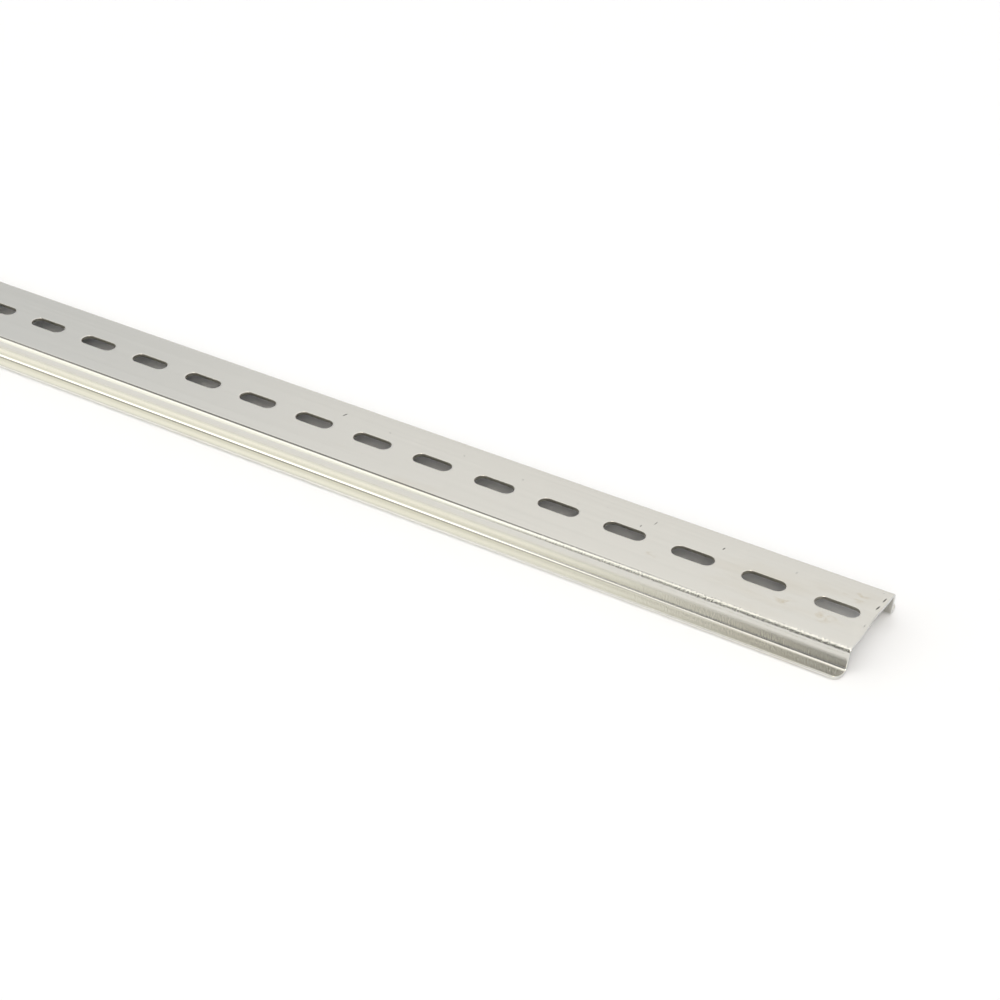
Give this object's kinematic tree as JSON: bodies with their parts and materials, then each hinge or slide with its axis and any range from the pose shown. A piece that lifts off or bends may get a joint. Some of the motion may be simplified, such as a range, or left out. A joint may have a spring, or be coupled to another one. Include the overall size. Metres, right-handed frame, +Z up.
{
  "type": "mounting rail",
  "caption": "Perforated top-hat mounting rail of thin zinc-plated steel, with a row of round-ended slots along its web and two clip-on flanges.",
  "frame": {"origin": "middle of the rail's underside, midway between its ends and its flange tips", "axes": "+X along the rail, +Y across it, +Z up from the flanges to the web's back"},
  "size_m": [1, 0.035, 0.0075],
  "materials": {
    "zinc_steel": "zinc-plated, satin"
  },
  "bodies": {
    "root": {"rail": "zinc_steel"}
  },
  "joints": []
}
